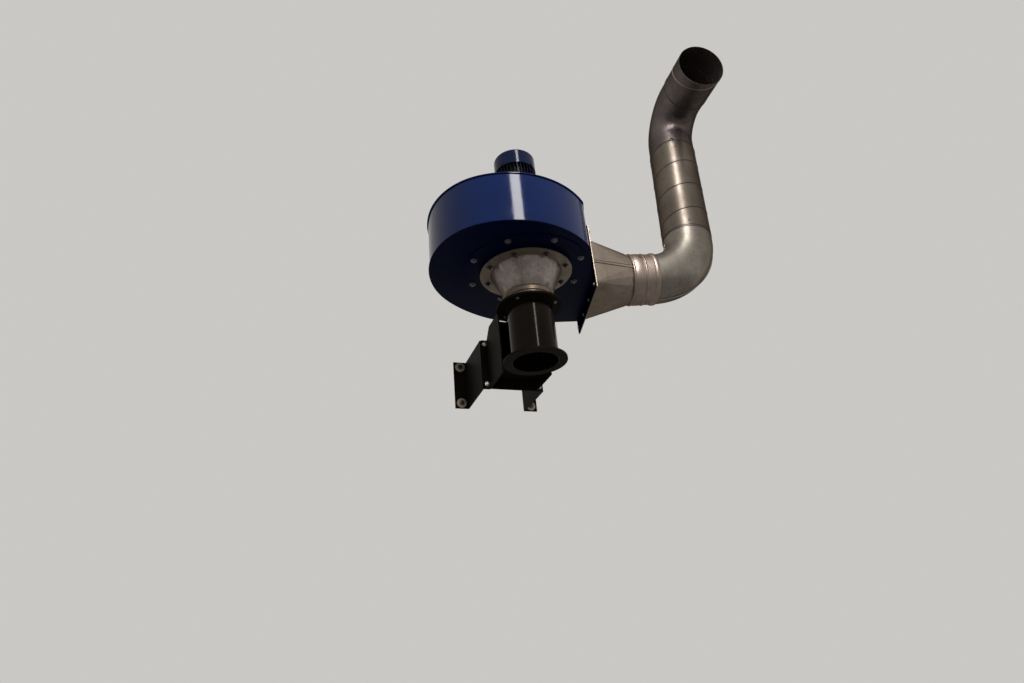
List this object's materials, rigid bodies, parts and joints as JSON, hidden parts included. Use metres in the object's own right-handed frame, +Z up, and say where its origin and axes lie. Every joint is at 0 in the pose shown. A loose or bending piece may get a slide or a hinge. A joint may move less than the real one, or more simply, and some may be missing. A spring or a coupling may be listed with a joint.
{
  "type": "wall-mounted extraction unit",
  "caption": "Wall-mounted extraction unit: black console and arm pipe, blue spiral-cased fan with its motor on top, galvanised reducer, square-to-round outlet and duct",
  "frame": {"origin": "middle of the back face of the left-hand wall flange, on the wall", "axes": "+X along the wall to the right as seen from the room, +Y into the wall, +Z up"},
  "size_m": [1.3101, 0.7094, 1.4895],
  "materials": {
    "black_steel": "semi-gloss black powder coat",
    "blue_paint": "semi-gloss blue enamel",
    "navy_paint": "satin dark blue enamel",
    "galvanised_sheet": "dull galvanised sheet",
    "bright_steel": "turned steel",
    "black_plastic": "moulded matt black"
  },
  "bodies": {
    "root": {"wall_bracket_left": "black_steel", "wall_bracket_right": "black_steel", "console_back_plate": "black_steel", "console_side_left": "black_steel", "console_side_right": "black_steel", "console_saddle_lower": "black_steel", "console_saddle_upper": "black_steel", "arm_pipe": "black_steel", "pipe_bottom_flange": "black_steel", "pipe_top_flange": "black_steel", "reducer_neck": "galvanised_sheet", "reducer_cone": "galvanised_sheet", "reducer_ring": "galvanised_sheet", "inlet_seat_ring": "navy_paint", "casing_bottom_plate": "navy_paint", "casing_top_plate": "blue_paint", "casing_wrap": "blue_paint", "cover_disc": "navy_paint", "casing_outlet_flange": "navy_paint", "transition_flange": "galvanised_sheet", "inlet_nozzle": "galvanised_sheet", "impeller_shroud": "galvanised_sheet", "impeller_back_plate": "galvanised_sheet", "impeller_blades": "galvanised_sheet", "impeller_hub": "bright_steel", "motor_shaft": "bright_steel", "motor_flange": "blue_paint", "motor_frame": "blue_paint", "motor_rear_shield": "blue_paint", "motor_cowl": "blue_paint", "motor_cooling_fan": "black_plastic", "motor_terminal_box": "blue_paint", "terminal_box_lid": "blue_paint", "cable_gland": "black_plastic", "transition_body": "galvanised_sheet", "outlet_collar": "galvanised_sheet", "elbow": "galvanised_sheet", "riser": "galvanised_sheet", "upper_bend": "galvanised_sheet", "run_duct": "galvanised_sheet"}
  },
  "joints": []
}
